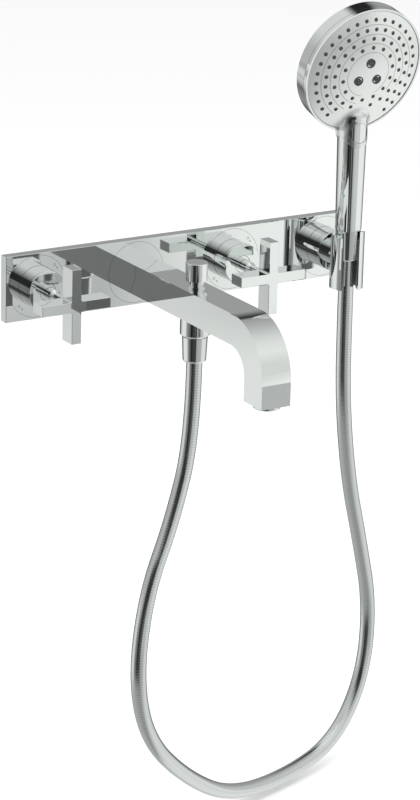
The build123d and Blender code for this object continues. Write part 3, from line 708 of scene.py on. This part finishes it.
def make_marks():
    """Small engraved rings and dots on the two valve discs."""
    bm = bmesh.new()
    for x in (HOT_X, COLD_X):
        for degrees, radius in MARKS:
            fresh = turned(bm, mark_outline(radius), 24, True)
            angle = math.radians(degrees)
            shift = Matrix.Translation((MARK_CIRCLE * math.cos(angle),
                                        MARK_CIRCLE * math.sin(angle), 0))
            bmesh.ops.transform(bm, matrix=wall_place(x) @ shift, verts=fresh)
    marks = finish_turned("valve_disc_marks", "nozzle_rubber", bm, Matrix.Identity(4))
    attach(marks, "root")


# ---------------------------------------------------------------- studio
def around_stops(*stops):
    """Stops given as (degrees from straight ahead, value), right positive."""
    return [((degrees + 180) / 360, value) for degrees, value in stops]


# What polished pieces mirror, as brightness round the horizon, at five heights.
LEVEL = around_stops(
    (-180, 0.13), (-166, 0.14), (-158, 0.50), (-152.4, 0.55), (-151.2, 0.84), (-150, 0.66),
    (-147.9, 0.80), (-147.3, 0.42), (-144, 0.42), (-140, 0.86), (-106, 0.86), (-96, 0.34),
    (-66, 0.16), (-62, 0.012), (-52, 0.012), (-47, 0.05), (-34, 0.03), (-32.5, 0.19),
    (-27.5, 0.21), (-26, 0.05), (-19, 0.04), (-11, 0.50), (14, 0.66), (28.5, 0.60),
    (29.5, 0.50), (30.6, 0.74), (32, 0.94), (84, 0.95), (100, 0.60), (116, 0.15),
    (180, 0.13))
LOW = around_stops(
    (-180, 0.13), (-166, 0.14), (-158, 0.60), (-150, 0.78), (-146, 0.88), (-106, 0.80),
    (-96, 0.34), (-84, 0.20), (-62, 0.02), (-52, 0.02), (-47, 0.06), (-34, 0.05),
    (-19, 0.05), (-11, 0.40), (20, 0.46), (34, 0.52), (42, 0.80), (84, 0.84),
    (100, 0.40), (116, 0.15), (180, 0.13))
HIGH = around_stops(
    (-180, 0.34), (-140, 0.50), (-100, 0.60), (-80, 0.40), (-62, 0.03), (-12, 0.02),
    (0, 0.56), (32, 0.76), (90, 0.66), (120, 0.38), (180, 0.34))
UPPER = around_stops(
    (-180, 0.74), (-140, 0.72), (-70, 0.70), (-20, 0.76), (40, 0.90), (95, 0.60),
    (130, 0.42), (136, 0.38), (140, 0.02), (157, 0.02), (163, 0.30), (171, 0.72),
    (180, 0.74))
BELOW = around_stops(
    (-180, 0.50), (-120, 0.52), (-60, 0.40), (-20, 0.36), (4, 0.44), (22, 0.70),
    (45, 0.90), (80, 0.98), (120, 0.78), (150, 0.66), (170, 0.62), (180, 0.50))
GLOW = (0.975, 1.0, 0.985)


def studio_brightness(shader):
    """Blends the five rings of brightness by the height of the direction."""
    split = {"Vector": shader.add("ShaderNodeTexCoord", output="Generated")}
    x, y, height = (shader.add("ShaderNodeSeparateXYZ", {}, split, output=i)
                    for i in range(3))
    turn = x.math("ARCTAN2", y * -1) / math.tau + 0.5
    depth = height * -1
    value = turn.ramp(*LEVEL)
    for mask, ring in ((depth.ramp((0.288, 0.0), (0.302, 1.0)), turn.ramp(*LOW)),
                       (height.ramp((-0.255, 0.0), (0.0, 1.0)), turn.ramp(*HIGH)),
                       (height.ramp((0.30, 0.0), (0.60, 1.0)), turn.ramp(*UPPER)),
                       (height.ramp((0.86, 0.0), (0.95, 1.0)), 1.0),
                       (depth.ramp((0.40, 0.0), (0.53, 1.0)), turn.ramp(*BELOW))):
        value = value * (1 - mask) + mask * ring
    return value


def make_world():
    """Mirrored rays see the studio; everything else sees plain white."""
    world = bpy.data.worlds.new("studio")
    bpy.context.scene.world = world
    world.use_nodes = True
    shader = Shader(world.node_tree)
    glow = shader.tint(studio_brightness(shader), (0, 0, 0), GLOW)
    reflected = shader.add("ShaderNodeBackground", {}, {"Color": glow, "Strength": 1.0})
    seen = shader.add("ShaderNodeBackground", {}, {"Color": (1, 1, 1, 1), "Strength": 1.0})
    glossy = shader.add("ShaderNodeLightPath", output="Is Glossy Ray")
    mixed = shader.add("ShaderNodeMixShader", {}, {0: glossy, 1: seen, 2: reflected})
    shader.add("ShaderNodeOutputWorld", {}, {"Surface": mixed})


FLOOR_HALF = 9
FLOOR_DROP = 0.004


def pale_floor(shader):
    cloud = shader.noise(0.6)
    return {"Base Color": shader.tint(cloud, (0.90, 0.90, 0.90), (0.92, 0.92, 0.92)),
            "Roughness": 0.9, "Specular IOR Level": 0.1}


def make_floor():
    bm = bmesh.new()
    drop = Matrix.Translation((0, 0, cad_box[0].z - FLOOR_DROP))
    bmesh.ops.create_grid(bm, x_segments=1, y_segments=1, size=FLOOR_HALF, matrix=drop)
    floor = helper("floor", bm)
    floor.data.materials.append(material("pale_floor", pale_floor))
    floor.visible_glossy = False


def softbox(name, place, aim, size, power):
    data = bpy.data.lights.new(name, "AREA")
    data.shape = "DISK"
    data.size = size
    data.energy = power
    light = bpy.data.objects.new(name, data)
    light.location = place
    toward = Vector(aim) - Vector(place)
    light.rotation_euler = toward.to_track_quat("-Z", "Y").to_euler()
    light.visible_glossy = False
    bpy.context.scene.collection.objects.link(light)


def make_studio():
    make_world()
    make_floor()
    softbox("overhead_softbox", (0.1, -0.6, 2.2), (0, 0, -0.3), 2.0, 30)
    softbox("front_softbox", (1.6, -2.2, 0.9), (0, 0, 0), 1.4, 22)
    view = bpy.context.scene.view_settings
    view.view_transform = "Standard"
    view.look = "None"


make_camera()
make_hose()
finish_cad_nodes()
make_face()
make_grooves()
make_nozzles()
make_head_trim()
make_tongue()
make_sleeve_gap_shade()
make_marks()
make_studio()
